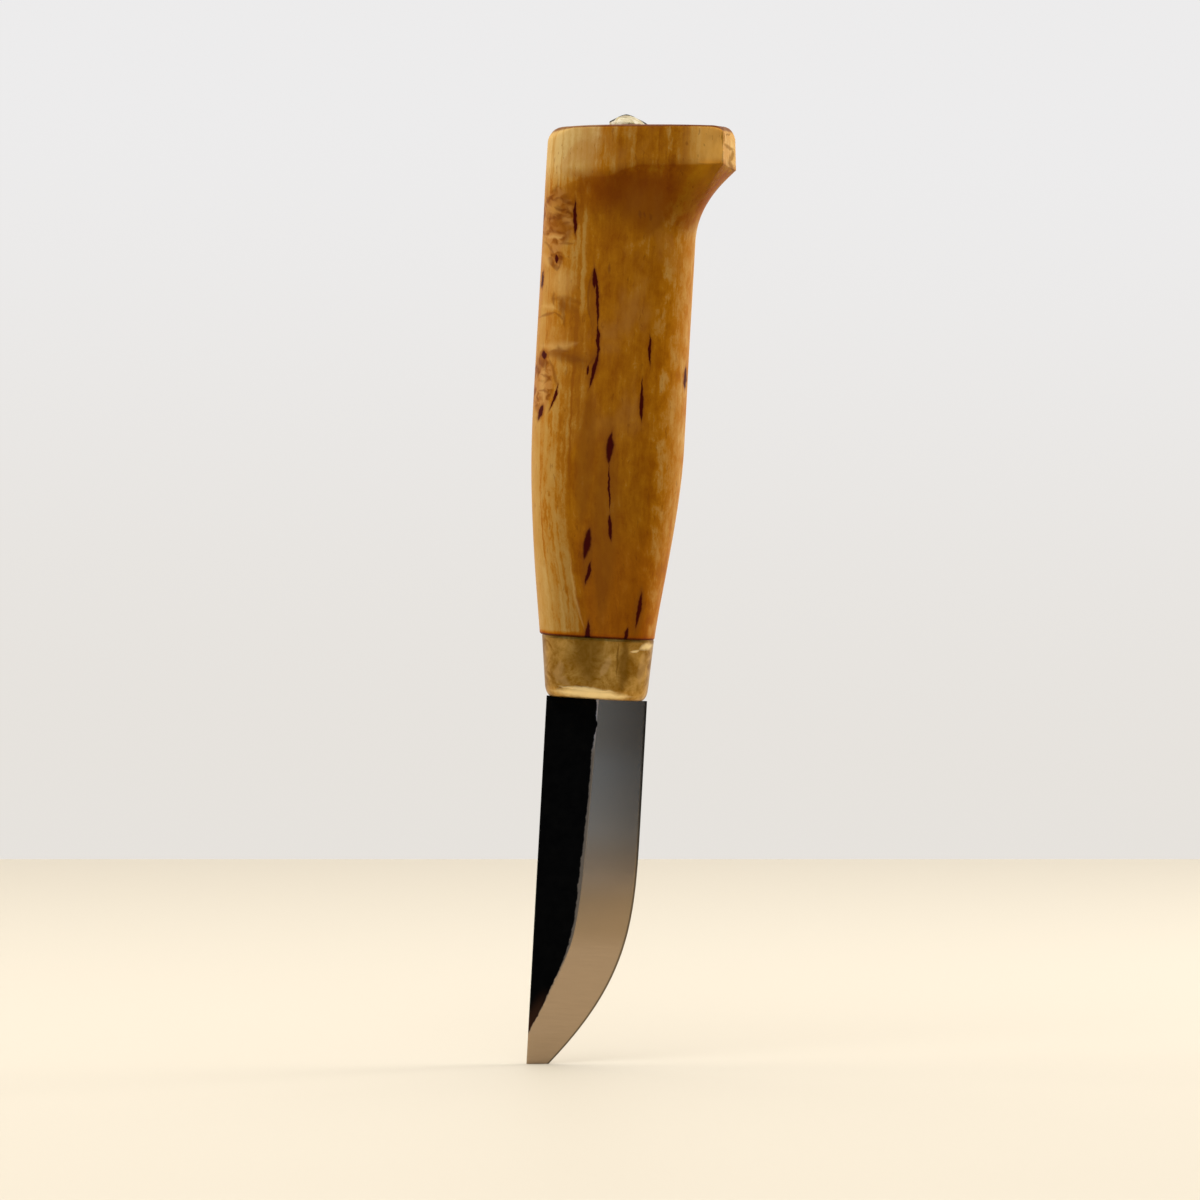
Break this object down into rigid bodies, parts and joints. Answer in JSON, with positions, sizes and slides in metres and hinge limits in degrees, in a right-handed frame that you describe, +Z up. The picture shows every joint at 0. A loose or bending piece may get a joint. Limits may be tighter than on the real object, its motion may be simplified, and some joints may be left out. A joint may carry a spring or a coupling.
{
  "type": "bushcraft knife",
  "caption": "Fixed-blade bushcraft knife: ground carbon-steel blade with a stick tang, brass ferrule, beaked curly-birch handle and a riveted pommel plate.",
  "frame": {"origin": "on the spine, at the surface of the wood that the point is stuck in", "axes": "+Z up the straight spine from the point to the pommel, +X from the spine to the cutting edge, Y through the thickness"},
  "size_m": [0.0373, 0.0294, 0.1923],
  "materials": {
    "forged_steel": "black forge skin on the flats, satin ground bevels",
    "brass": "handled, slightly tarnished satin",
    "oiled_birch": "oiled curly birch with dark flecks",
    "resin": "cured amber resin",
    "rivet_brass": "bright filed and peened"
  },
  "bodies": {
    "root": {"blade": "forged_steel", "ferrule": "brass", "handle": "oiled_birch", "tang_bedding": "resin", "rivet_plate": "rivet_brass"}
  },
  "joints": []
}
